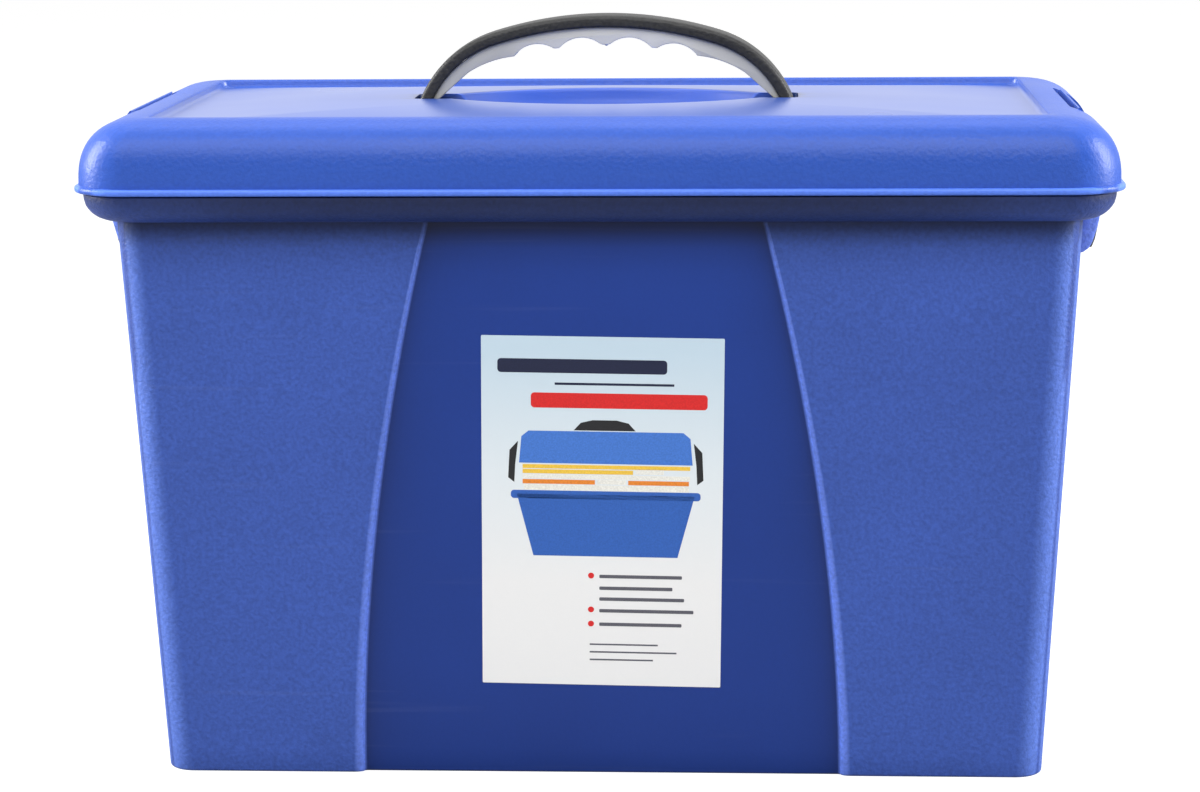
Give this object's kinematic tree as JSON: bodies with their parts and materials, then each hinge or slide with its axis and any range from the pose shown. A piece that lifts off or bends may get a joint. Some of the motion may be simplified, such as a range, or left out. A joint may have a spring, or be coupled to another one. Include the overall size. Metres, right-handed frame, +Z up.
{
  "type": "portable file box",
  "caption": "Portable moulded file box for hanging files, with a lift-off lid, a sliding carry handle in the lid and a hinged latch at each end.",
  "frame": {"origin": "centre of the floor's underside", "axes": "+X along the box's long side, to the right seen from the labelled front; +Y to the back; +Z up"},
  "size_m": [0.4354, 0.2302, 0.3196],
  "materials": {
    "tub_plastic": "translucent-looking blue moulded plastic, finely textured at the sides and smooth in the middle",
    "lid_plastic": "satin blue moulded plastic",
    "handle_black": "satin black plastic",
    "grip_grey": "soft light grey plastic",
    "latch_black": "satin black plastic",
    "pin_steel": "plain wire",
    "label_paper": "coated paper with a pale blue print"
  },
  "bodies": {
    "tub": {"tub": "tub_plastic", "label": "label_paper"},
    "lid": {"lid": "lid_plastic", "hinge_pin_left": "pin_steel", "hinge_pin_right": "pin_steel"},
    "handle": {"handle_arch": "handle_black", "handle_grip": "grip_grey"},
    "latch_left": {"latch_left": "latch_black"},
    "latch_right": {"latch_right": "latch_black"}
  },
  "joints": [
    {"name": "lid_lift", "type": "slide", "parent": "tub", "child": "lid", "axis": [0, 0, 1], "range_m": [0, 0.06]},
    {"name": "handle_slide", "type": "slide", "parent": "lid", "child": "handle", "axis": [0, 0, 1], "range_m": [-0.014, 0]},
    {"name": "latch_left_hinge", "type": "hinge", "parent": "lid", "child": "latch_left", "pos_m": [-0.2035, 0, 0.2676], "axis": [0, 1, 0], "range_deg": [-5.5, 52]},
    {"name": "latch_right_hinge", "type": "hinge", "parent": "lid", "child": "latch_right", "pos_m": [0.2035, 0, 0.2676], "axis": [0, -1, 0], "range_deg": [-5.5, 52]}
  ]
}
